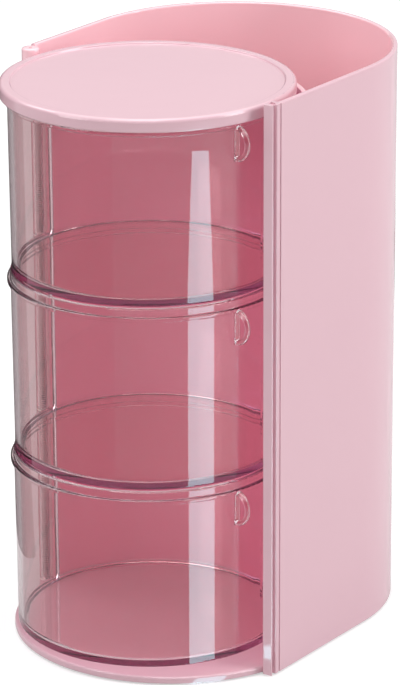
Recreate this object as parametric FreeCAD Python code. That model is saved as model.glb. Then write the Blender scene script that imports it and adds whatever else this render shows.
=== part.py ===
import FreeCAD, Part
import math
import os

from FreeCAD import Vector

# Rotating makeup organizer: three clear round drawers under a round lid, all hinged on one
# vertical rod at the front left of a half-round shell. Millimetres, +Z up, +X to the right,
# -Y to the front. The pieces are drawn about the drawers' common centre. Then they are all
# moved back or forward together, so that the origin is on the table at the middle of the box.

os.makedirs("parts", exist_ok=True)

# ---------------------------------------------------------------- driving dimensions
# Drawers
DRAWER_COUNT = 3
DRAWER_RADIUS = 65.25          # outside of the wall, just under the rim
DRAWER_DRAFT = 0.65            # how much narrower the wall is at the floor
DRAWER_WALL = 2.4
DRAWER_FLOOR = 2.2
DRAWER_PITCH = 89.4            # from one drawer's floor to the next
DRAWER_GAP = 0.8               # air between a drawer and the one above it
FLANGE_REACH = 1.6             # how far the rim flange stands out from the wall
FLANGE_HEIGHT = 2.2
COLLAR_HEIGHT = 4.0            # wall that goes on above the flange of a lower drawer
TOP_DRAWER_HEIGHT = 83.1       # the top drawer ends at its flange
DRAWER_EDGE_ROUND = 0.7        # rim and flange edges
DRAWER_SEAM_ROUND = 0.4        # where the flange meets the wall
DRAWER_UNDER_ROUND = 0.9
DRAWER_FLOOR_ROUND = 2.6       # inside, between the wall and the floor

# Lid
LID_OVERHANG = 3.85            # lid edge beyond the drawer wall
LID_HEIGHT = 6.4
LID_GAP = 0.5                  # air between the top drawer's rim and the lid
LID_PLATE = 1.9
LID_SKIRT = 1.8
LID_RIM_WIDTH = 5.0            # raised ring round the recessed top
LID_RECESS = 0.9
LID_TOP_ROUND = 1.8
LID_LOW_ROUND = 0.8
LID_INNER_ROUND = 0.9
LID_STEP_ROUND = 0.4

# Shell
SHELL_WALL = 2.6
SHELL_RISE = 2.0               # shell edge above the lid
SHELL_ROUND = 0.9              # rounding of the shell's top edges
BAY_CLEARANCE = 3.5            # between the lid and the shell
REAR_CENTRE_Y = 69.8           # centre of the half-round back
PARTITION_WALL = 2.4
PARTITION_DROP = 12.0          # partition edge below the shell edge
REAR_POCKET_Y = 22.0           # where the rear compartment starts
POST_WIDTH = 5.4
POST_FRONT_Y = -11.4
POST_DEPTH = 7.2
POST_ROUND = 1.1
POST_TOP_ROUND = 0.3
POST_LIP = 0.9                 # front face to the wide groove
GROOVE_WIDTH = 2.7
GROOVE_DEPTH = 1.9
FINE_GROOVE_WIDTH = 0.8
FINE_GROOVE_DEPTH = 0.5
POST_POCKET = 3.0              # square sink in the top of the post
POST_POCKET_DEPTH = 0.8

# Base
FOOT_PROUD = 1.0               # feet below the base plate
BASE_THICKNESS = 3.3
BASE_ROUND = 1.2
BASE_INSET = 0.9               # lobe edge inside the shell's width
BASE_CENTRE_Y = 17.3           # centre of the front lobe
BASE_FIT = 0.25                # base plate in the shell
UNDER_GAP = 5.9                # between the base plate and the bottom drawer

# Hinge
ROD_RADIUS = 2.0
ROD_PRESS = 0.02               # rod in the knuckle and in the base
ROD_RUN = 0.06                 # rod in a turning sleeve
ROD_SINK = 1.6                 # rod end below the knuckle's top
ROD_END_GAP = 0.2              # air over the rod's upper end
ROD_SEAT = 1.2                 # base plate left under the rod
BARREL_RADIUS = 4.2
PIN_Y = 7.0
BARREL_GAP = 1.8               # between a sleeve and the shell's left edge
KNUCKLE_HEIGHT = 6.5
KNUCKLE_ROUND = 1.1
KNUCKLE_VENT = 0.8             # radius of the vent over the rod's blind hole
NECK_WIDTH = 3.6               # neck between the knuckle and the shell's wall
NECK_DROP = 1.0                # neck below the knuckle's top
NECK_OVERLAP = 1.0             # how far the neck runs into the wall
WASHER_RADIUS = 3.9
WASHER_HEIGHT = 0.7
AXIAL_GAP = 0.1                # each side of a washer
LID_EAR_HEIGHT = 5.6
HINGE_ZONE = 7.1               # radius round the rod that no drawer rim reaches
WEB_THICKNESS = 3.0

# Handles
HANDLE_ANGLE = 74.0            # from the front towards the right, degrees
HANDLE_REACH = 9.2
HANDLE_HEIGHT = 17.4
HANDLE_BAR = 2.6
HANDLE_STRIP = 0.9             # thickness of the strip on the wall
HANDLE_TOP = 0.4               # under the top of the flange
HANDLE_ROUND = 0.3             # edges of the strip
HANDLE_FIT = 0.02

# Feet and screws
FOOT_RADIUS = 6.0
FOOT_SINK = 0.8
FOOT_FIT = 0.1
FOOT_INSET = 14.6              # foot centre in from the base's edge
LOBE_FOOT_ANGLES = {           # about the lobe's centre, from the +X side
    "foot_front": -90.0,
    "foot_left": 174.0,
    "foot_right": 6.0,
}
REAR_FOOT_ANGLES = {           # about the centre of the back
    "foot_rear_left": 128.0,
    "foot_rear_right": 52.0,
}
SCREW_RADIUS = 1.45
SCREW_LENGTH = 11.0
SCREW_HEAD_RADIUS = 2.8
SCREW_HEAD_HEIGHT = 1.5
SCREW_CROSS_REACH = 1.7
SCREW_CROSS_WIDTH = 0.7
SCREW_PLAY = 0.05
HEAD_PLAY = 0.3
BOSS_RADIUS = 4.2
BOSS_HEIGHT = 14.0
FRONT_SCREW_Y = 32.0
REAR_SCREW_ANGLE = 50.0        # from the +X side, about the centre of the back

# ---------------------------------------------------------------- worked-out sizes
lid_radius = DRAWER_RADIUS + LID_OVERHANG
flange_radius = DRAWER_RADIUS + FLANGE_REACH
bay_radius = lid_radius + BAY_CLEARANCE
half_width = bay_radius + POST_WIDTH
inner_half = half_width - SHELL_WALL
post_back_y = POST_FRONT_Y + POST_DEPTH

base_z = FOOT_PROUD
plate_top = base_z + BASE_THICKNESS
first_floor = plate_top + UNDER_GAP
top_floor = first_floor + (DRAWER_COUNT - 1) * DRAWER_PITCH
top_rim = top_floor + TOP_DRAWER_HEIGHT
lid_bottom = top_rim + LID_GAP
lid_top = lid_bottom + LID_HEIGHT
shell_top = lid_top + SHELL_RISE
partition_top = shell_top - PARTITION_DROP

pin = Vector(-(half_width - BARREL_RADIUS), PIN_Y, 0)
pin_distance = math.hypot(pin.x, pin.y)
to_centre = math.degrees(math.atan2(-pin.y, -pin.x))
left_edge_y = PIN_Y + BARREL_RADIUS + BARREL_GAP
washer_room = WASHER_HEIGHT + 2 * AXIAL_GAP
knuckle_bottom = shell_top - KNUCKLE_HEIGHT
ear_top = knuckle_bottom - washer_room
ear_bottom = ear_top - LID_EAR_HEIGHT
rod_bottom = base_z + ROD_SEAT

UP = Vector(0, 0, 1)


# ---------------------------------------------------------------- helpers
def cylinder(radius, z0, z1, x=0.0, y=0.0):
    """A round solid from z0 to z1."""
    return Part.makeCylinder(radius, z1 - z0, Vector(x, y, z0))


def box(x0, x1, y0, y1, z0, z1):
    """A square-edged solid between two corners."""
    return Part.makeBox(x1 - x0, y1 - y0, z1 - z0, Vector(x0, y0, z0))


def rounded_wire(corners, to_space):
    """A closed wire through (u, v, radius) corners, each rounded to its radius."""
    points = [to_space(u, v) for u, v, _ in corners]
    edges = []
    starts = []
    ends = []
    middles = []
    for i, corner in enumerate(points):
        radius = corners[i][2]
        back = (points[i - 1] - corner).normalize()
        ahead = (points[(i + 1) % len(points)] - corner).normalize()
        if radius == 0:
            starts.append(corner)
            ends.append(corner)
            middles.append(None)
            continue
        half = back.getAngle(ahead) / 2
        reach = radius / math.tan(half)
        inward = (back + ahead).normalize()
        starts.append(corner + back * reach)
        ends.append(corner + ahead * reach)
        middles.append(corner + inward * (radius / math.sin(half) - radius))
    for i in range(len(points)):
        if middles[i] is not None:
            edges.append(Part.Arc(starts[i], middles[i], ends[i]).toShape())
        following = starts[(i + 1) % len(points)]
        if ends[i].distanceToPoint(following) > 1e-6:
            edges.append(Part.LineSegment(ends[i], following).toShape())
    return Part.Wire(edges)


def turned(corners):
    """A solid of revolution about Z from (radius, height, rounding) corners."""
    wire = rounded_wire(corners, lambda r, z: Vector(r, 0, z))
    return Part.Face(wire).revolve(Vector(0, 0, 0), UP, 360)


def prism(corners, z0, z1):
    """A solid from z0 to z1 over (x, y, rounding) corners."""
    wire = rounded_wire(corners, lambda x, y: Vector(x, y, z0))
    return Part.Face(wire).extrude(Vector(0, 0, z1 - z0))


def u_prism(half, front_y, z0, z1):
    """The shell's plan, straight sides and a half-round back, as a solid."""
    right = Vector(half, REAR_CENTRE_Y, z0)
    left = Vector(-half, REAR_CENTRE_Y, z0)
    front_right = Vector(half, front_y, z0)
    front_left = Vector(-half, front_y, z0)
    back = Part.Arc(right, Vector(0, REAR_CENTRE_Y + half, z0), left).toShape()
    sides = [(left, front_left), (front_left, front_right), (front_right, right)]
    lines = [Part.LineSegment(a, b).toShape() for a, b in sides]
    return Part.Face(Part.Wire([back] + lines)).extrude(Vector(0, 0, z1 - z0))


def upper_edges(shape, z, keep):
    """The edges that lie in the plane z and pass the keep test at their middle."""
    found = []
    for edge in shape.Edges:
        flat = abs(edge.BoundBox.ZMin - z) < 1e-4 and abs(edge.BoundBox.ZMax - z) < 1e-4
        middle = edge.valueAt((edge.FirstParameter + edge.LastParameter) / 2)
        if flat and keep(middle):
            found.append(edge)
    return found


def screw_spots():
    """Where the base screws go: two between partition and side, two near the back."""
    partition_x = math.sqrt((bay_radius + PARTITION_WALL) ** 2 - FRONT_SCREW_Y ** 2)
    side_x = (partition_x + inner_half) / 2
    reach = inner_half - BOSS_RADIUS + SHELL_WALL / 2
    angle = math.radians(REAR_SCREW_ANGLE)
    rear = (reach * math.cos(angle), REAR_CENTRE_Y + reach * math.sin(angle))
    return [(-side_x, FRONT_SCREW_Y), (side_x, FRONT_SCREW_Y), (-rear[0], rear[1]), rear]


def foot_spots():
    """Where the feet go, all as far in from the base's edge, by name."""
    lobe_reach = half_width - BASE_INSET - FOOT_INSET
    rear_reach = inner_half - BASE_FIT - FOOT_INSET
    spots = {}
    for name, angle in LOBE_FOOT_ANGLES.items():
        turn = math.radians(angle)
        spots[name] = (lobe_reach * math.cos(turn), BASE_CENTRE_Y + lobe_reach * math.sin(turn))
    for name, angle in REAR_FOOT_ANGLES.items():
        turn = math.radians(angle)
        spots[name] = (rear_reach * math.cos(turn), REAR_CENTRE_Y + rear_reach * math.sin(turn))
    return spots


# ---------------------------------------------------------------- shell
def front_post():
    """The right-hand front column with its two long grooves and the sink in its top."""
    groove_front = POST_FRONT_Y + POST_LIP
    ridge_front = groove_front + GROOVE_WIDTH
    ridge_back = post_back_y - FINE_GROOVE_WIDTH
    groove_x = half_width - GROOVE_DEPTH
    fine_x = half_width - FINE_GROOVE_DEPTH
    soft = FINE_GROOVE_DEPTH / 2
    post = prism([
        (bay_radius, post_back_y, 0),
        (bay_radius, POST_FRONT_Y, POST_ROUND),
        (half_width, POST_FRONT_Y, POST_LIP / 2),
        (half_width, groove_front, soft),
        (groove_x, groove_front, soft),
        (groove_x, ridge_front, soft),
        (half_width, ridge_front, 2 * soft),
        (half_width, ridge_back, 2 * soft),
        (fine_x, ridge_back, 0),
        (fine_x, post_back_y, 0),
    ], base_z, shell_top)
    rim = upper_edges(post, shell_top, lambda p: p.y < groove_front and p.x < groove_x)
    post = post.makeFillet(POST_TOP_ROUND, rim)
    pocket_x = bay_radius + POST_WIDTH / 2 - POST_POCKET / 2
    pocket_y = groove_front + GROOVE_WIDTH / 2
    sink = box(pocket_x, pocket_x + POST_POCKET, pocket_y, pocket_y + POST_POCKET,
               shell_top - POST_POCKET_DEPTH, shell_top + 1)
    return post.cut(sink)


def knuckle():
    """The left-hand hinge knuckle, a round boss on a short neck, that holds the rod's top."""
    boss = cylinder(BARREL_RADIUS, knuckle_bottom, shell_top, pin.x, pin.y)
    boss = boss.makeFillet(KNUCKLE_ROUND, upper_edges(boss, shell_top, lambda p: True))
    neck = box(-half_width, NECK_WIDTH - half_width, PIN_Y, left_edge_y + NECK_OVERLAP,
               knuckle_bottom, shell_top - NECK_DROP)
    blind_end = shell_top - ROD_SINK + ROD_END_GAP
    hole = cylinder(ROD_RADIUS + ROD_PRESS, knuckle_bottom - 1, blind_end, pin.x, pin.y)
    vent = cylinder(KNUCKLE_VENT, knuckle_bottom, shell_top + 1, pin.x, pin.y)
    return boss.fuse(neck).cut([hole, vent])


def shell():
    """Half-round wall, partition, post and knuckle, moulded as one piece."""
    wall = u_prism(half_width, post_back_y, base_z, shell_top)
    bay = cylinder(bay_radius, plate_top - 1, shell_top + 1)
    left_of_bay = box(-half_width - 1, 0, post_back_y - 1, left_edge_y, 0, shell_top + 1)
    right_of_bay = box(-1, bay_radius, post_back_y - 1, 0, 0, shell_top + 1)
    rear = u_prism(inner_half, REAR_POCKET_Y, plate_top, shell_top + 1)
    rear = rear.cut(cylinder(bay_radius + PARTITION_WALL, plate_top, shell_top + 1))
    above = u_prism(inner_half, post_back_y - 1, partition_top, shell_top + 1)
    seat = u_prism(inner_half, post_back_y - 1, base_z - 1, plate_top)
    wall = wall.cut([bay, left_of_bay, right_of_bay, rear, above, seat])
    side_x = half_width - SHELL_WALL / 2
    edges = upper_edges(wall, shell_top, lambda p: abs(p.x) > side_x or p.y > left_edge_y + 1)
    wall = wall.makeFillet(SHELL_ROUND, edges)
    bosses = []
    pilots = []
    for x, y in screw_spots():
        bosses.append(cylinder(BOSS_RADIUS, plate_top, plate_top + BOSS_HEIGHT, x, y))
        pilots.append(cylinder(SCREW_RADIUS + SCREW_PLAY, base_z,
                               plate_top + SCREW_LENGTH, x, y))
    body = wall.fuse([front_post(), knuckle()] + bosses)
    return body.cut(pilots).removeSplitter()


# ---------------------------------------------------------------- base
def base_plate():
    """Pink plate: the round lobe in front and the closing plate under the shell."""
    lobe_radius = half_width - BASE_INSET
    lobe = cylinder(lobe_radius, base_z, plate_top, 0, BASE_CENTRE_Y)
    lobe = lobe.makeFillet(BASE_ROUND, upper_edges(lobe, plate_top, lambda p: True))
    under_side = BASE_ROUND / 3
    lobe = lobe.makeFillet(under_side, upper_edges(lobe, base_z, lambda p: True))
    rear = u_prism(inner_half - BASE_FIT, left_edge_y, base_z, plate_top)
    low = base_z - 1
    high = plate_top + 1
    far = half_width + 1
    right_wall = box(inner_half - BASE_FIT, far, post_back_y - BASE_FIT, REAR_CENTRE_Y, low, high)
    left_wall = box(-far, BASE_FIT - inner_half, left_edge_y - BASE_FIT, REAR_CENTRE_Y, low, high)
    post = box(bay_radius - BASE_FIT, far, POST_FRONT_Y - BASE_FIT, post_back_y, low, high)
    behind = box(-far, far, left_edge_y + BARREL_RADIUS, REAR_CENTRE_Y + far, low, high)
    plate = lobe.cut(behind).fuse(rear).cut([right_wall, left_wall, post])
    boss_top = first_floor - washer_room
    plate = plate.fuse(cylinder(BARREL_RADIUS, base_z, boss_top, pin.x, pin.y))
    cuts = [cylinder(ROD_RADIUS + ROD_PRESS, rod_bottom, boss_top + 1, pin.x, pin.y)]
    for x, y in foot_spots().values():
        cuts.append(cylinder(FOOT_RADIUS, low, base_z + FOOT_SINK, x, y))
    head = SCREW_HEAD_RADIUS + HEAD_PLAY
    for x, y in screw_spots():
        cuts.append(cylinder(head, low, base_z + SCREW_HEAD_HEIGHT + HEAD_PLAY, x, y))
        cuts.append(cylinder(SCREW_RADIUS + SCREW_PLAY, low, high, x, y))
    return plate.cut(cuts).removeSplitter()


def foot(x, y):
    """A rubber foot sunk into the base plate."""
    radius = FOOT_RADIUS - FOOT_FIT
    height = FOOT_PROUD + FOOT_SINK
    rubber = turned([(0, 0, 0), (radius, 0, FOOT_SINK / 2), (radius, height, 0), (0, height, 0)])
    rubber.translate(Vector(x, y, 0))
    return rubber


def base_screws():
    """The self-tapping screws that hold the base plate to the shell."""
    head_bottom = base_z + HEAD_PLAY
    head_top = head_bottom + SCREW_HEAD_HEIGHT
    cross = ((SCREW_CROSS_REACH, SCREW_CROSS_WIDTH / 2), (SCREW_CROSS_WIDTH / 2, SCREW_CROSS_REACH))
    screws = []
    for x, y in screw_spots():
        screw = cylinder(SCREW_HEAD_RADIUS, head_bottom, head_top, x, y)
        screw = screw.fuse(cylinder(SCREW_RADIUS, head_top, plate_top + SCREW_LENGTH - 1, x, y))
        for wide, deep in cross:
            screw = screw.cut(box(x - wide, x + wide, y - deep, y + deep,
                                  base_z, head_bottom + SCREW_HEAD_HEIGHT / 2))
        screws.append(screw)
    return Part.makeCompound(screws)


# ---------------------------------------------------------------- hinge
def sleeve(z0, z1, reach):
    """A hinge sleeve on the rod with its web towards the drawers' centre."""
    web = box(0, reach, -WEB_THICKNESS / 2, WEB_THICKNESS / 2, z0, z1)
    web.rotate(Vector(0, 0, 0), UP, to_centre)
    web.translate(Vector(pin.x, pin.y, 0))
    return cylinder(BARREL_RADIUS, z0, z1, pin.x, pin.y).fuse(web)


def rod_bore():
    """The running hole for the rod, right through the hinge."""
    return cylinder(ROD_RADIUS + ROD_RUN, 0, shell_top, pin.x, pin.y)


def washer(z0):
    """A slip washer on the rod."""
    ring = cylinder(WASHER_RADIUS, z0, z0 + WASHER_HEIGHT, pin.x, pin.y)
    return ring.cut(rod_bore())


# ---------------------------------------------------------------- drawers, handles, lid
def wall_radius(height, flange_bottom):
    """Outside of a drawer's wall at a height above its underside."""
    return DRAWER_RADIUS - DRAWER_DRAFT * (1 - height / flange_bottom)


def drawer(index):
    """A clear round tub with its rim flange, collar and hinge sleeve."""
    bottom = first_floor + index * DRAWER_PITCH
    is_top = index == DRAWER_COUNT - 1
    collar = 0 if is_top else COLLAR_HEIGHT
    height = TOP_DRAWER_HEIGHT if is_top else DRAWER_PITCH - DRAWER_GAP
    flange_top = height - collar
    flange_bottom = flange_top - FLANGE_HEIGHT
    inside_top = DRAWER_RADIUS - DRAWER_WALL
    inside_floor = inside_top - DRAWER_DRAFT
    outline = [
        (0, 0, 0),
        (wall_radius(0, flange_bottom), 0, DRAWER_UNDER_ROUND),
        (DRAWER_RADIUS, flange_bottom, DRAWER_SEAM_ROUND),
        (flange_radius, flange_bottom, DRAWER_EDGE_ROUND),
        (flange_radius, flange_top, DRAWER_EDGE_ROUND),
    ]
    if collar:
        outline.append((DRAWER_RADIUS, flange_top, DRAWER_SEAM_ROUND))
        outline.append((DRAWER_RADIUS, height, DRAWER_EDGE_ROUND))
    outline += [
        (inside_top, height, DRAWER_EDGE_ROUND),
        (inside_floor, DRAWER_FLOOR, DRAWER_FLOOR_ROUND),
        (0, DRAWER_FLOOR, 0),
    ]
    tub = turned(outline)
    tub.translate(Vector(0, 0, bottom))
    sleeve_top = ear_bottom - washer_room if is_top else bottom + DRAWER_PITCH - washer_room
    reach = pin_distance - DRAWER_RADIUS + DRAWER_WALL / 2
    tub = tub.fuse(sleeve(bottom, sleeve_top, reach))
    return tub.cut(rod_bore()).removeSplitter()


def handle(index):
    """A clear D-shaped loop on the drawer's wall and the edge of its flange."""
    bottom = first_floor + index * DRAWER_PITCH
    is_top = index == DRAWER_COUNT - 1
    height = TOP_DRAWER_HEIGHT if is_top else DRAWER_PITCH - DRAWER_GAP
    flange_top = height - (0 if is_top else COLLAR_HEIGHT)
    flange_bottom = flange_top - FLANGE_HEIGHT
    middle = flange_top - HANDLE_TOP - HANDLE_HEIGHT / 2
    half_bar = HANDLE_BAR / 2
    half_loop = HANDLE_HEIGHT / 2 - half_bar
    wall_x = DRAWER_RADIUS
    tip_x = wall_x + HANDLE_REACH - half_bar
    bend_x = tip_x - half_loop
    low = [Vector(wall_x, 0, middle - half_loop), Vector(bend_x, 0, middle - half_loop)]
    high = [Vector(bend_x, 0, middle + half_loop), Vector(wall_x, 0, middle + half_loop)]
    path = Part.Wire([Part.LineSegment(*low).toShape(),
                      Part.Arc(low[1], Vector(tip_x, 0, middle), high[0]).toShape(),
                      Part.LineSegment(*high).toShape()])
    ring = Part.Wire(Part.makeCircle(half_bar, low[0], Vector(1, 0, 0)))
    loop = path.makePipeShell([ring], True, False)
    strip = box(wall_x - DRAWER_WALL / 2, wall_x + HANDLE_STRIP, -half_bar, half_bar,
                middle - HANDLE_HEIGHT / 2, middle + HANDLE_HEIGHT / 2)
    edges = [e for e in strip.Edges if abs(e.BoundBox.XMin - wall_x - HANDLE_STRIP) < 1e-6]
    strip = strip.makeFillet(HANDLE_ROUND, edges)
    grip = loop.fuse(strip)
    wall = Part.makeCone(wall_radius(0, flange_bottom) + HANDLE_FIT, DRAWER_RADIUS + HANDLE_FIT,
                         flange_bottom)
    seam_top = flange_bottom - HANDLE_FIT
    seam = Part.makeCone(DRAWER_RADIUS + HANDLE_FIT, DRAWER_RADIUS + DRAWER_SEAM_ROUND + HANDLE_FIT,
                         DRAWER_SEAM_ROUND, Vector(0, 0, seam_top - DRAWER_SEAM_ROUND))
    rim = cylinder(DRAWER_RADIUS + FLANGE_REACH + HANDLE_FIT, seam_top, flange_top)
    grip = grip.cut(wall).cut(seam).cut(rim)
    grip.rotate(Vector(0, 0, 0), UP, HANDLE_ANGLE - 90)
    grip.translate(Vector(0, 0, bottom))
    return grip.removeSplitter()


def lid():
    """Round lid with a recessed top, a short skirt and its hinge ear."""
    top = LID_HEIGHT
    sunk = top - LID_RECESS
    under = sunk - LID_PLATE
    inside = lid_radius - LID_SKIRT
    ring = lid_radius - LID_RIM_WIDTH
    cover = turned([
        (0, under, 0),
        (inside, under, LID_INNER_ROUND),
        (inside, 0, LID_STEP_ROUND),
        (lid_radius, 0, LID_LOW_ROUND),
        (lid_radius, top, LID_TOP_ROUND),
        (ring, top, LID_STEP_ROUND),
        (ring - LID_RECESS / 2, sunk, LID_STEP_ROUND),
        (0, sunk, 0),
    ])
    cover.translate(Vector(0, 0, lid_bottom))
    ear = sleeve(ear_bottom, ear_top, pin_distance - inside)
    ear = ear.common(cylinder(HINGE_ZONE, ear_bottom, ear_top, pin.x, pin.y))
    return cover.fuse(ear).cut(rod_bore()).removeSplitter()


# ---------------------------------------------------------------- the pieces
pieces = {
    "shell": shell(),
    "base_plate": base_plate(),
    "base_screws": base_screws(),
    "lid": lid(),
    "pivot_rod": cylinder(ROD_RADIUS, rod_bottom, shell_top - ROD_SINK, pin.x, pin.y),
}
for name, (foot_x, foot_y) in foot_spots().items():
    pieces[name] = foot(foot_x, foot_y)
for number, level in enumerate(("bottom", "middle", "top")):
    pieces["drawer_" + level] = drawer(number)
    pieces["handle_" + level] = handle(number)
washer_spots = {
    "washer_base": first_floor,
    "washer_lower": first_floor + DRAWER_PITCH,
    "washer_upper": first_floor + 2 * DRAWER_PITCH,
    "washer_lid": ear_bottom,
    "washer_knuckle": knuckle_bottom,
}
for name, above in washer_spots.items():
    pieces[name] = washer(above - AXIAL_GAP - WASHER_HEIGHT)

middle_y = (REAR_CENTRE_Y + half_width - lid_radius) / 2
for name, solid in pieces.items():
    solid.translate(Vector(0, -middle_y, 0))
    solid.exportStep("parts/" + name + ".step")
    print(name, "solids", len(solid.Solids), "valid", solid.isValid(), "volume", round(solid.Volume))
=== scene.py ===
import math

import bpy
from mathutils import Matrix, Vector

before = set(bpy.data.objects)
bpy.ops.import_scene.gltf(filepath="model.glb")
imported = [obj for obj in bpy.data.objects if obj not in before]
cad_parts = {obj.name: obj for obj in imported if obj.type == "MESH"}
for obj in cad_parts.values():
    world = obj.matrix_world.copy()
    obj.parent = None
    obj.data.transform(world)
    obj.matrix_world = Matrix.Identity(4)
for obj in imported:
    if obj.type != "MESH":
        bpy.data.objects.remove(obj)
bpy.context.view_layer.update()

# ------------------------------------------------------------------ half-round shell
# The tall pink housing: outer wall, curved partition, front post and hinge knuckle, injection
# moulded in one piece of ABS in a polished tool. Light that falls inside goes from pink wall
# to pink wall, so the inner faces are a warmer, fuller pink than the outside.

def add(tree, kind, inputs=None, **settings):
    """Adds one shader node with its settings, and fills or links its inputs."""
    node = tree.nodes.new(kind)
    for name, value in settings.items():
        setattr(node, name, value)
    for name, value in (inputs or {}).items():
        if isinstance(value, bpy.types.NodeSocket):
            tree.links.new(value, node.inputs[name])
        else:
            node.inputs[name].default_value = value
    return node


def colour(hex_code):
    """Linear RGBA from an sRGB hex code."""
    parts = [int(hex_code[i:i + 2], 16) / 255 for i in (1, 3, 5)]
    linear = [p / 12.92 if p <= 0.04045 else ((p + 0.055) / 1.055) ** 2.4 for p in parts]
    return (*linear, 1.0)


def per_mm(size):
    """Texture scale for a pattern whose repeat is this many millimetres."""
    return 1000 / size


def blank_material(name):
    """A material with an empty node tree."""
    material = bpy.data.materials.new(name)
    material.use_nodes = True
    material.node_tree.nodes.clear()
    return material, material.node_tree


def dress(material, *names):
    """Gives these CAD nodes the material in place of their plain one."""
    for name in names:
        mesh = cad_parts[name].data
        mesh.materials.clear()
        mesh.materials.append(material)


pink_outside = ("#DFB8C2", "#DDB5C0")
pink_inside = "#FCCDD5"
pink_bay = "#FEA8C1"
back_centre_y = 0.03045        # middle of the half-round back
inner_face = 0.0754            # radius of its inner face
into_wall = (0.0003, 0.0014)   # the inner pink fades out between these depths
post_back_y = -0.04355         # back face of the front post
drawer_axis_y = -0.03935       # middle of the drawers
bay_radius = (0.0730, 0.0736)  # the bay's pink fades out between these radii
bay_top = (0.266, 0.272)       # and between these heights, under the lid
polish = (0.08, 0.13)          # roughness, from clear to hazy


def moulded_abs(name, inside):
    """Glossy ABS: clear highlights from the polished tool, very slightly wavy where it shrank.
    With inside, the inner faces and the drawers' bay get their own pinks."""
    material, tree = blank_material(name)
    place = add(tree, "ShaderNodeTexCoord").outputs["Object"]
    drift = add(tree, "ShaderNodeTexNoise", {"Vector": place, "Scale": per_mm(60), "Detail": 2.0})
    tone = add(tree, "ShaderNodeMix", {"Factor": drift.outputs["Fac"],
                                       "A": colour(pink_outside[0]),
                                       "B": colour(pink_outside[1])},
               data_type="RGBA").outputs["Result"]
    if inside:
        part = add(tree, "ShaderNodeSeparateXYZ", {0: place})
        past = add(tree, "ShaderNodeMath", {0: part.outputs["Y"], 1: back_centre_y},
                   operation="SUBTRACT")
        past = add(tree, "ShaderNodeMath", {0: past.outputs[0], 1: 0.0}, operation="MAXIMUM")
        plan = add(tree, "ShaderNodeCombineXYZ", {"X": part.outputs["X"], "Y": past.outputs[0]})
        reach = add(tree, "ShaderNodeVectorMath", {0: plan.outputs[0]}, operation="LENGTH")
        within = add(tree, "ShaderNodeMapRange", {
            "Value": reach.outputs["Value"], "From Min": inner_face + into_wall[0],
            "From Max": inner_face + into_wall[1], "To Min": 1.0, "To Max": 0.0})
        behind = add(tree, "ShaderNodeMath", {0: part.outputs["Y"], 1: post_back_y},
                     operation="GREATER_THAN")
        share = add(tree, "ShaderNodeMath", {0: within.outputs[0], 1: behind.outputs[0]},
                    operation="MULTIPLY")
        tone = add(tree, "ShaderNodeMix", {"Factor": share.outputs[0], "A": tone,
                                           "B": colour(pink_inside)},
                   data_type="RGBA").outputs["Result"]
        flat = add(tree, "ShaderNodeCombineXYZ", {"X": part.outputs["X"],
                                                  "Y": part.outputs["Y"]})
        from_axis = add(tree, "ShaderNodeVectorMath", {0: flat.outputs[0],
                                                       1: (0, drawer_axis_y, 0)},
                        operation="DISTANCE")
        in_bay = add(tree, "ShaderNodeMapRange", {
            "Value": from_axis.outputs["Value"], "From Min": bay_radius[0],
            "From Max": bay_radius[1], "To Min": 1.0, "To Max": 0.0})
        below_lid = add(tree, "ShaderNodeMapRange", {
            "Value": part.outputs["Z"], "From Min": bay_top[0], "From Max": bay_top[1],
            "To Min": 1.0, "To Max": 0.0})
        deep = add(tree, "ShaderNodeMath", {0: in_bay.outputs[0], 1: below_lid.outputs[0]},
                   operation="MULTIPLY")
        tone = add(tree, "ShaderNodeMix", {"Factor": deep.outputs[0], "A": tone,
                                           "B": colour(pink_bay)},
                   data_type="RGBA").outputs["Result"]
    ripple = add(tree, "ShaderNodeTexNoise", {"Vector": place, "Scale": per_mm(18),
                                              "Detail": 1.0})
    wavy = add(tree, "ShaderNodeBump", {"Height": ripple.outputs["Fac"], "Strength": 0.12,
                                        "Distance": 0.0004})
    haze = add(tree, "ShaderNodeTexNoise", {"Vector": place, "Scale": per_mm(4), "Detail": 3.0})
    rough = add(tree, "ShaderNodeMapRange", {"Value": haze.outputs["Fac"], "To Min": polish[0],
                                             "To Max": polish[1]})
    shader = add(tree, "ShaderNodeBsdfPrincipled", {
        "Base Color": tone, "Roughness": rough.outputs[0], "IOR": 1.53,
        "Normal": wavy.outputs["Normal"]})
    add(tree, "ShaderNodeOutputMaterial", {"Surface": shader.outputs["BSDF"]})
    return material


dress(moulded_abs("gloss_abs_shell", inside=True), "shell")
gloss_abs = moulded_abs("gloss_abs", inside=False)

# ------------------------------------------------------------------ base plate
# The pink plate that closes the shell from below and carries the drawers on its round front
# lobe. Same ABS and the same polish on top, screwed up into the shell's bosses.

dress(gloss_abs, "base_plate")

# ------------------------------------------------------------------ feet
# Five soft pads of pale rubber, moulded, and glued into shallow seats under the base plate, so
# that it doesn't slide.

def moulded_rubber(name):
    """Pale thermoplastic rubber: dull, with the fine grain of a blasted mould."""
    material, tree = blank_material(name)
    place = add(tree, "ShaderNodeTexCoord").outputs["Object"]
    grain = add(tree, "ShaderNodeTexNoise", {"Vector": place, "Scale": per_mm(0.8),
                                             "Detail": 3.0})
    tone = add(tree, "ShaderNodeMix", {"Factor": grain.outputs["Fac"], "A": colour("#CFC9C8"),
                                       "B": colour("#DDD8D6")}, data_type="RGBA")
    dull = add(tree, "ShaderNodeBump", {"Height": grain.outputs["Fac"], "Strength": 0.4,
                                        "Distance": 0.0001})
    shader = add(tree, "ShaderNodeBsdfPrincipled", {
        "Base Color": tone.outputs["Result"], "Roughness": 0.72, "IOR": 1.5,
        "Normal": dull.outputs["Normal"]})
    add(tree, "ShaderNodeOutputMaterial", {"Surface": shader.outputs["BSDF"]})
    return material


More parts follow.
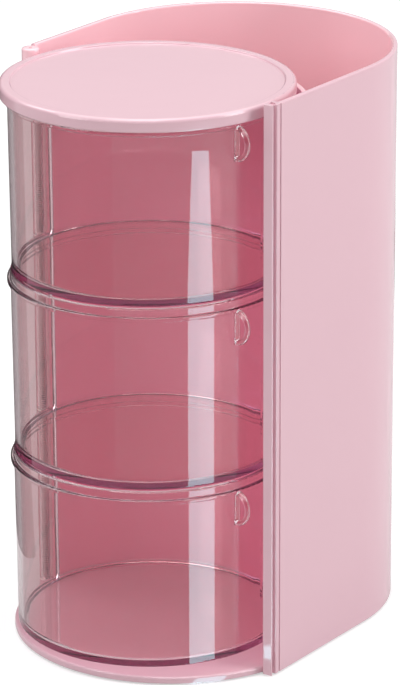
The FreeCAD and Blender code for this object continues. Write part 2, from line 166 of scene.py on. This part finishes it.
dress(moulded_rubber("moulded_rubber"), "foot_front", "foot_left", "foot_right",
      "foot_rear_left", "foot_rear_right")

# ------------------------------------------------------------------ screws and hinge rod
# Four zinc-plated self-tapping screws hold the base plate. The rod is a ground steel pin from
# the base plate's boss up into the knuckle, and shows through the clear sleeves on it.

wave_step = 6.28  # with this, the wave texture's bands are about twice line_mm apart


def worked_steel(name, tone, roughness, line_mm):
    """Steel with its grinding or rolling lines round the Z axis, a little coarser than real."""
    material, tree = blank_material(name)
    place = add(tree, "ShaderNodeTexCoord").outputs["Object"]
    lines = add(tree, "ShaderNodeTexWave", {"Vector": place, "Scale": per_mm(line_mm) / wave_step,
                                            "Distortion": 2.0, "Detail": 3.0},
                bands_direction="Z")
    ridges = add(tree, "ShaderNodeBump", {"Height": lines.outputs["Fac"], "Strength": 0.25,
                                          "Distance": 0.00005})
    spread = add(tree, "ShaderNodeMapRange", {"Value": lines.outputs["Fac"],
                                              "To Min": roughness, "To Max": roughness + 0.12})
    shader = add(tree, "ShaderNodeBsdfPrincipled", {
        "Base Color": colour(tone), "Metallic": 1.0, "Roughness": spread.outputs[0],
        "Normal": ridges.outputs["Normal"]})
    add(tree, "ShaderNodeOutputMaterial", {"Surface": shader.outputs["BSDF"]})
    return material


dress(worked_steel("ground_steel", "#C9C8C9", roughness=0.2, line_mm=0.5), "pivot_rod")
dress(worked_steel("zinc_plated_steel", "#B9BABD", roughness=0.34, line_mm=0.35), "base_screws")

# ------------------------------------------------------------------ washers
# Thin slip washers of natural nylon, loose on the rod under, between and above the pieces that
# turn on it.

def natural_nylon(name):
    """Unfilled nylon: milky off-white, waxy sheen."""
    material, tree = blank_material(name)
    place = add(tree, "ShaderNodeTexCoord").outputs["Object"]
    cloud = add(tree, "ShaderNodeTexNoise", {"Vector": place, "Scale": per_mm(3), "Detail": 2.0})
    tone = add(tree, "ShaderNodeMix", {"Factor": cloud.outputs["Fac"], "A": colour("#ECE8DF"),
                                       "B": colour("#F3F0E9")}, data_type="RGBA")
    shader = add(tree, "ShaderNodeBsdfPrincipled", {
        "Base Color": tone.outputs["Result"], "Roughness": 0.42, "IOR": 1.53,
        "Subsurface Weight": 0.3, "Subsurface Scale": 0.001})
    add(tree, "ShaderNodeOutputMaterial", {"Surface": shader.outputs["BSDF"]})
    return material


dress(natural_nylon("natural_nylon"), "washer_base", "washer_lower", "washer_upper",
      "washer_lid", "washer_knuckle")

# ------------------------------------------------------------------ clear drawers and handles
# Three round tubs of clear polystyrene with a faint rose tint, polished inside and out, each
# with a flange near its rim and a hinge sleeve down its left side. A D-shaped loop of the same
# plastic is welded to the wall and the flange's edge of each one as its handle.

clear_tint = colour("#F6E6E6")
clear_depth = colour("#BC7CBC")
clear_density = 14.0  # how soon a long path inside the plastic turns mauve


def clear_styrene(name):
    """Polished polystyrene: clear, its edges deep mauve where the light has come far inside.
    Shadow and diffuse rays pass straight through, so that the bay behind it gets its light."""
    material, tree = blank_material(name)
    place = add(tree, "ShaderNodeTexCoord").outputs["Object"]
    flow = add(tree, "ShaderNodeTexNoise", {"Vector": place, "Scale": per_mm(25), "Detail": 0.0})
    wavy = add(tree, "ShaderNodeBump", {"Height": flow.outputs["Fac"], "Strength": 0.02,
                                        "Distance": 0.0004})
    clear = add(tree, "ShaderNodeBsdfPrincipled", {
        "Base Color": clear_tint, "Roughness": 0.0, "IOR": 1.5, "Transmission Weight": 1.0,
        "Specular IOR Level": 0.35, "Normal": wavy.outputs["Normal"]})
    path = add(tree, "ShaderNodeLightPath")
    through = add(tree, "ShaderNodeBsdfTransparent", {"Color": (1, 1, 1, 1)})
    bounced = add(tree, "ShaderNodeMixShader", {0: path.outputs["Is Diffuse Ray"],
                                                1: clear.outputs["BSDF"],
                                                2: through.outputs["BSDF"]})
    both = add(tree, "ShaderNodeMixShader", {0: path.outputs["Is Shadow Ray"],
                                             1: bounced.outputs["Shader"],
                                             2: through.outputs["BSDF"]})
    depth = add(tree, "ShaderNodeVolumeAbsorption", {"Color": clear_depth,
                                                    "Density": clear_density})
    add(tree, "ShaderNodeOutputMaterial", {"Surface": both.outputs["Shader"],
                                           "Volume": depth.outputs["Volume"]})
    return material


clear_plastic = clear_styrene("clear_styrene")
for level in ("bottom", "middle", "top"):
    dress(clear_plastic, "drawer_" + level, "handle_" + level)

# ------------------------------------------------------------------ lid
# A round pink ABS lid with a raised rim round its flat top and a short skirt over the top
# drawer. It turns on the same rod as the drawers, on an ear under its left edge.

dress(gloss_abs, "lid")

# ------------------------------------------------------------------ floor and surroundings
# A white studio floor in a white room. A bright wedge glows on the floor though it is no lamp;
# only mirrored rays see it, a painted reflection for the tall streak that a lamp leaves on the
# front of the drawers.

# the wedge of painted reflection that glows on the floor
streak_apex = Vector((0.0255, -0.0689, 0.0))
streak_wall = Vector((0.0548, -0.0743, 0.0))  # foot of the drawer wall that mirrors the wedge
streak_turn = math.radians(79.6)
streak_start, streak_end = 0.54, 0.83         # from the wall to where it narrows, and its end
streak_slopes = (0.205, 0.125)                # half its width per length, at those two
streak_blur = 0.01
streak_light = 8.0
streak_tone = "#BCF6FF"
floor_tone = "#C2C2C2"
floor_glow = 0.52       # brings the lit floor up to white
off_gloss = 0.3         # how much of the step to white is mirrored in gloss
through_plastic = 0.05  # and how much shows through the clear plastic


def seen_directly(tree):
    """First output: 1 for rays from the camera, less off gloss or through plastic, 0 for other
    light. Second: 1 for mirrored rays. Third: 1 for mirrored rays and for those refracted by
    clear plastic, which count as glossy too."""
    path = add(tree, "ShaderNodeLightPath")
    mirrored = add(tree, "ShaderNodeMath", {0: path.outputs["Is Glossy Ray"],
                                            1: path.outputs["Is Transmission Ray"]},
                   operation="SUBTRACT", use_clamp=True)
    gloss = add(tree, "ShaderNodeMath", {0: mirrored.outputs[0], 1: off_gloss},
                operation="MULTIPLY")
    both = add(tree, "ShaderNodeMath", {0: path.outputs["Is Transmission Ray"],
                                        1: through_plastic, 2: gloss.outputs[0]},
               operation="MULTIPLY_ADD")
    share = add(tree, "ShaderNodeMath", {0: both.outputs[0], 1: path.outputs["Is Camera Ray"]},
                operation="MAXIMUM")
    return share.outputs[0], mirrored.outputs[0], path.outputs["Is Glossy Ray"]


half = 4.0  # of the floor's side
floor_mesh = bpy.data.meshes.new("studio_floor")
floor_mesh.from_pydata([(-half, -half, 0), (half, -half, 0), (half, half, 0), (-half, half, 0)],
                       [], [(0, 1, 2, 3)])
floor = bpy.data.objects.new("studio_floor", floor_mesh)
bpy.context.scene.collection.objects.link(floor)

material, tree = blank_material("painted_floor")
direct, mirrored, _ = seen_directly(tree)
place = add(tree, "ShaderNodeTexCoord").outputs["Object"]
away = add(tree, "ShaderNodeVectorMath", {0: place, 1: streak_apex}, operation="SUBTRACT")
along = add(tree, "ShaderNodeVectorMath", {
    0: away.outputs[0], 1: (math.sin(streak_turn), -math.cos(streak_turn), 0)},
    operation="DOT_PRODUCT")
across = add(tree, "ShaderNodeVectorMath", {
    0: away.outputs[0], 1: (math.cos(streak_turn), math.sin(streak_turn), 0)},
    operation="DOT_PRODUCT")
slope = add(tree, "ShaderNodeMath", {0: across.outputs["Value"], 1: along.outputs["Value"]},
            operation="DIVIDE")
slope = add(tree, "ShaderNodeMath", {0: slope.outputs[0]}, operation="ABSOLUTE")
ahead = add(tree, "ShaderNodeMath", {0: along.outputs["Value"], 1: 0.0},
            operation="GREATER_THAN")
from_wall = add(tree, "ShaderNodeVectorMath", {0: place, 1: streak_wall},
                operation="DISTANCE")
near = add(tree, "ShaderNodeMath", {0: from_wall.outputs["Value"], 1: streak_end},
           operation="LESS_THAN")
spread = add(tree, "ShaderNodeMapRange", {
    "Value": from_wall.outputs["Value"], "From Min": streak_start, "From Max": streak_end,
    "To Min": streak_slopes[0], "To Max": streak_slopes[1]})
inside = add(tree, "ShaderNodeMath", {0: spread.outputs[0], 1: slope.outputs[0]},
             operation="SUBTRACT")
wedge = add(tree, "ShaderNodeMapRange", {"Value": inside.outputs[0], "From Min": -streak_blur,
                                         "From Max": streak_blur})
streak = add(tree, "ShaderNodeMath", {0: wedge.outputs[0], 1: ahead.outputs[0]},
             operation="MULTIPLY")
streak = add(tree, "ShaderNodeMath", {0: streak.outputs[0], 1: near.outputs[0]},
             operation="MULTIPLY")
streak = add(tree, "ShaderNodeMath", {0: streak.outputs[0], 1: mirrored},
             operation="MULTIPLY")
white_glow = add(tree, "ShaderNodeMath", {0: direct, 1: floor_glow}, operation="MULTIPLY")
glow = add(tree, "ShaderNodeMix", {"Factor": streak.outputs[0],
                                   "A": (1, 1, 1, 1), "B": colour(streak_tone)},
           data_type="RGBA")
# painted reflection: the wedge glows, for mirrored rays only, as the streak a lamp would leave
power = add(tree, "ShaderNodeMath", {0: streak.outputs[0], 1: streak_light,
                                     2: white_glow.outputs[0]}, operation="MULTIPLY_ADD")
paint = add(tree, "ShaderNodeBsdfPrincipled", {
    "Base Color": colour(floor_tone), "Roughness": 0.85,
    "Emission Color": glow.outputs["Result"], "Emission Strength": power.outputs[0]})
add(tree, "ShaderNodeOutputMaterial", {"Surface": paint.outputs["BSDF"]})
floor_mesh.materials.append(material)

room_light = 0.46                    # its strength for light that falls on the object
front_heading = (0.58, -0.814, 0.0)  # the side of the room in front of the drawers
front_edge = (0.1, 0.5)              # gloss and clear plastic see that side fade between these
front_dim = 0.1                      # to this share of its strength
ceiling_edge = (0.6, 0.7)            # and a bright ceiling begin between these heights
ceiling_light = 2.8
world = bpy.data.worlds.new("white_room")
bpy.context.scene.world = world
world.use_nodes = True
tree = world.node_tree
tree.nodes.clear()
direct, _, glossy = seen_directly(tree)
strength = add(tree, "ShaderNodeMapRange", {"Value": direct, "To Min": room_light, "To Max": 1.0})
heading = add(tree, "ShaderNodeTexCoord").outputs["Generated"]
toward = add(tree, "ShaderNodeVectorMath", {0: heading, 1: front_heading},
             operation="DOT_PRODUCT")
front = add(tree, "ShaderNodeMapRange", {
    "Value": toward.outputs["Value"], "From Min": front_edge[0], "From Max": front_edge[1],
    "To Min": 1.0, "To Max": front_dim})
bright = add(tree, "ShaderNodeMath", {0: front.outputs[0], 1: strength.outputs[0]},
             operation="MULTIPLY")
strength = add(tree, "ShaderNodeMix", {"Factor": glossy, "A": strength.outputs[0],
                                       "B": bright.outputs[0]}, data_type="FLOAT")
height = add(tree, "ShaderNodeSeparateXYZ", {0: heading})
ceiling = add(tree, "ShaderNodeMapRange", {
    "Value": height.outputs["Z"], "From Min": ceiling_edge[0], "From Max": ceiling_edge[1],
    "To Min": 0.0, "To Max": ceiling_light})
ceiling = add(tree, "ShaderNodeMath", {0: ceiling.outputs[0], 1: glossy,
                                       2: strength.outputs["Result"]},
              operation="MULTIPLY_ADD")
room = add(tree, "ShaderNodeBackground", {"Color": (1, 1, 1, 1), "Strength": ceiling.outputs[0]})
add(tree, "ShaderNodeOutputWorld", {"Surface": room.outputs["Background"]})

# ------------------------------------------------------------------ lamps
# Plain soft boxes: a key in front and to the left, one overhead, a tall one on the right, and
# two weak ones, high on the left and behind, for the other sides.

lamp_aim = Vector((0, 0, 0.15))


def softbox(name, place, size, light, mirrored=True):
    """A rectangular lamp aimed at the object that adds this much light to a face turned to it.
    Without mirrored, gloss doesn't show it."""
    away = Vector(place) - lamp_aim
    lamp = bpy.data.lights.new(name, "AREA")
    lamp.shape = "RECTANGLE"
    lamp.size, lamp.size_y = size
    lamp.energy = light * math.pi ** 2 * away.length_squared
    lamp_object = bpy.data.objects.new(name, lamp)
    lamp_object.location = place
    lamp_object.rotation_euler = away.to_track_quat("Z", "Y").to_euler()
    lamp_object.visible_camera = False
    lamp_object.visible_glossy = mirrored
    bpy.context.scene.collection.objects.link(lamp_object)


softbox("key_softbox", place=(-0.55, -1.5, 1.0), size=(0.7, 0.9), light=0.23)
softbox("top_softbox", place=(0.1, -0.3, 1.7), size=(0.6, 1.3), light=0.42)
softbox("right_softbox", place=(1.45, 0.5, 0.85), size=(0.5, 1.3), light=0.51)
softbox("left_softbox", place=(-1.3, -0.1, 1.4), size=(0.7, 0.7), light=0.18)
softbox("back_softbox", place=(0.35, 1.7, 0.9), size=(0.9, 0.9), light=0.16, mirrored=False)

# ------------------------------------------------------------------ dark flag
# A folded black card behind the object on its left, half of it lying on the floor. Only
# mirrored rays see it, and it darkens the edge of the clear plastic.

flag_mesh = bpy.data.meshes.new("dark_flag")
flag_top, flag_foot = 0.45, 0.001
flag_points = [(-0.42, 0.75), (-0.62, 0.30), (-0.62, -0.12)]
near_points = [(-0.14, 0.60), (-0.15, 0.25), (-0.15, -0.12)]
flag_mesh.from_pydata([(x, y, flag_top) for x, y in flag_points]
                      + [(x, y, flag_foot) for x, y in flag_points + near_points], [],
                      [(0, 1, 4, 3), (1, 2, 5, 4), (3, 4, 7, 6), (4, 5, 8, 7)])
flag = bpy.data.objects.new("dark_flag", flag_mesh)
bpy.context.scene.collection.objects.link(flag)
flag.visible_camera = False
flag.visible_diffuse = False
flag.visible_transmission = False
flag.visible_shadow = False
material, tree = blank_material("black_card")
card = add(tree, "ShaderNodeBsdfPrincipled", {"Base Color": colour("#202020"),
                                              "Roughness": 0.9})
add(tree, "ShaderNodeOutputMaterial", {"Surface": card.outputs["BSDF"]})
flag_mesh.materials.append(material)

# ------------------------------------------------------------------ camera
# A long lens from the front right, looking a little down on the lid, so that the upright edges
# stay nearly parallel.

azimuth = math.radians(35.47)
elevation = math.radians(19.33)
roll = math.radians(-0.23)
aim = Vector((0.02072, -0.02736, 0.15007))
distance = 1.89228
sensor_mm, lens_mm = 36, 210.2
plastic_bounces, diffuse_bounces = 32, 6  # enough for a ray through the stack of drawers
back = Vector((math.sin(azimuth) * math.cos(elevation),
               -math.cos(azimuth) * math.cos(elevation), math.sin(elevation)))
right = Vector((math.cos(azimuth), math.sin(azimuth), 0))
up = back.cross(right)
across = right * math.cos(roll) + up * math.sin(roll)
upward = up * math.cos(roll) - right * math.sin(roll)
camera = bpy.data.objects.new("camera", bpy.data.cameras.new("camera"))
camera.data.sensor_width = sensor_mm
camera.data.lens = lens_mm
camera.matrix_world = (Matrix.Translation(aim + back * distance)
                       @ Matrix((across, upward, back)).transposed().to_4x4())
scene = bpy.context.scene
scene.collection.objects.link(camera)
scene.camera = camera
scene.view_settings.view_transform = "Standard"
scene.cycles.max_bounces = plastic_bounces
scene.cycles.diffuse_bounces = diffuse_bounces
scene.cycles.glossy_bounces = plastic_bounces
scene.cycles.transmission_bounces = plastic_bounces
scene.cycles.transparent_max_bounces = plastic_bounces
